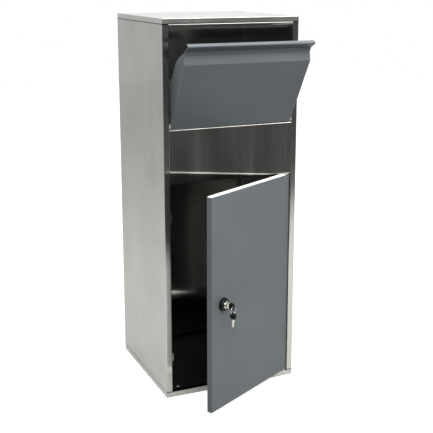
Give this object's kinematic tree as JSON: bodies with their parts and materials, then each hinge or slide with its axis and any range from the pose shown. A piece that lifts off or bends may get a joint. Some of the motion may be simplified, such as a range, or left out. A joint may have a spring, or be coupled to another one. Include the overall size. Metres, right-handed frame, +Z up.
{
  "type": "parcel drop box",
  "caption": "Free-standing stainless steel parcel drop box with a tilt-out drop flap above and a lockable hinged door below, shown open with its keys in the lock.",
  "frame": {"origin": "centre of the base's underside, on the floor", "axes": "+Z up, +Y to the back, +X to the side that the door is hinged on"},
  "size_m": [0.385, 0.5429, 1.02],
  "materials": {
    "brushed_stainless": "brushed",
    "anthracite_paint": "satin",
    "black_rubber": "matt",
    "black_plastic": "satin",
    "white_nylon": "satin",
    "white_foam": "matt",
    "zinc_plate": "bright",
    "nickel_plate": "polished"
  },
  "bodies": {
    "cabinet": {"base_tray": "brushed_stainless", "floor_mat": "black_rubber", "left_side_panel": "brushed_stainless", "right_side_panel": "brushed_stainless", "back_panel": "brushed_stainless", "header_rail": "brushed_stainless", "fascia_panel": "brushed_stainless", "lid_tray": "brushed_stainless", "lid_screws": "zinc_plate", "base_screws": "zinc_plate", "baffle_plate": "brushed_stainless", "baffle_rivets": "zinc_plate", "flap_bush_left": "white_nylon", "flap_bush_right": "white_nylon", "door_bush_lower": "white_nylon", "door_bush_upper": "white_nylon", "door_stop_lower": "brushed_stainless", "door_stop_upper": "brushed_stainless"},
    "flap": {"flap_panel": "anthracite_paint", "flap_wing_left": "anthracite_paint", "flap_wing_right": "anthracite_paint", "flap_pivot_pins": "zinc_plate", "flap_stop_pins": "zinc_plate", "flap_stop_sleeves": "black_rubber"},
    "door": {"door_skin": "anthracite_paint", "door_stiffener": "anthracite_paint", "door_seal": "white_foam", "door_pin_upper": "zinc_plate", "door_pin_lower": "zinc_plate", "lock_rosette": "black_plastic", "lock_barrel": "nickel_plate", "lock_nut": "zinc_plate"},
    "lock": {"lock_plug": "nickel_plate", "lock_cam": "zinc_plate", "cam_screw": "zinc_plate"},
    "key": {"key_blade": "nickel_plate", "key_bow": "black_plastic"},
    "ring": {"key_ring": "nickel_plate"},
    "spare_key": {"spare_key_blade": "nickel_plate", "spare_key_bow": "black_plastic"}
  },
  "joints": [
    {"name": "door_swing", "type": "hinge", "parent": "cabinet", "child": "door", "pos_m": [0.1665, -0.1765, 0.3], "axis": [0, 0, 1], "range_deg": [-28.6, 66.4]},
    {"name": "flap_tilt", "type": "hinge", "parent": "cabinet", "child": "flap", "pos_m": [0, -0.1765, 0.7475], "axis": [1, 0, 0], "range_deg": [-31, 0]},
    {"name": "lock_turn", "type": "hinge", "parent": "door", "child": "lock", "pos_m": [-0.08876, -0.3225, 0.305], "axis": [-0.4787, 0.878, 0], "range_deg": [0, 90]},
    {"name": "key_pull", "type": "slide", "parent": "lock", "child": "key", "axis": [0.4787, -0.878, 0], "range_m": [0, 0.022]},
    {"name": "ring_swing", "type": "hinge", "parent": "key", "child": "ring", "pos_m": [-0.07296, -0.35148, 0.30372], "axis": [0.878, 0.4787, 0], "range_deg": [-60, 15]},
    {"name": "spare_key_swing", "type": "hinge", "parent": "ring", "child": "spare_key", "pos_m": [-0.07296, -0.35148, 0.28572], "axis": [0.878, 0.4787, 0], "range_deg": [-60, 20]}
  ]
}
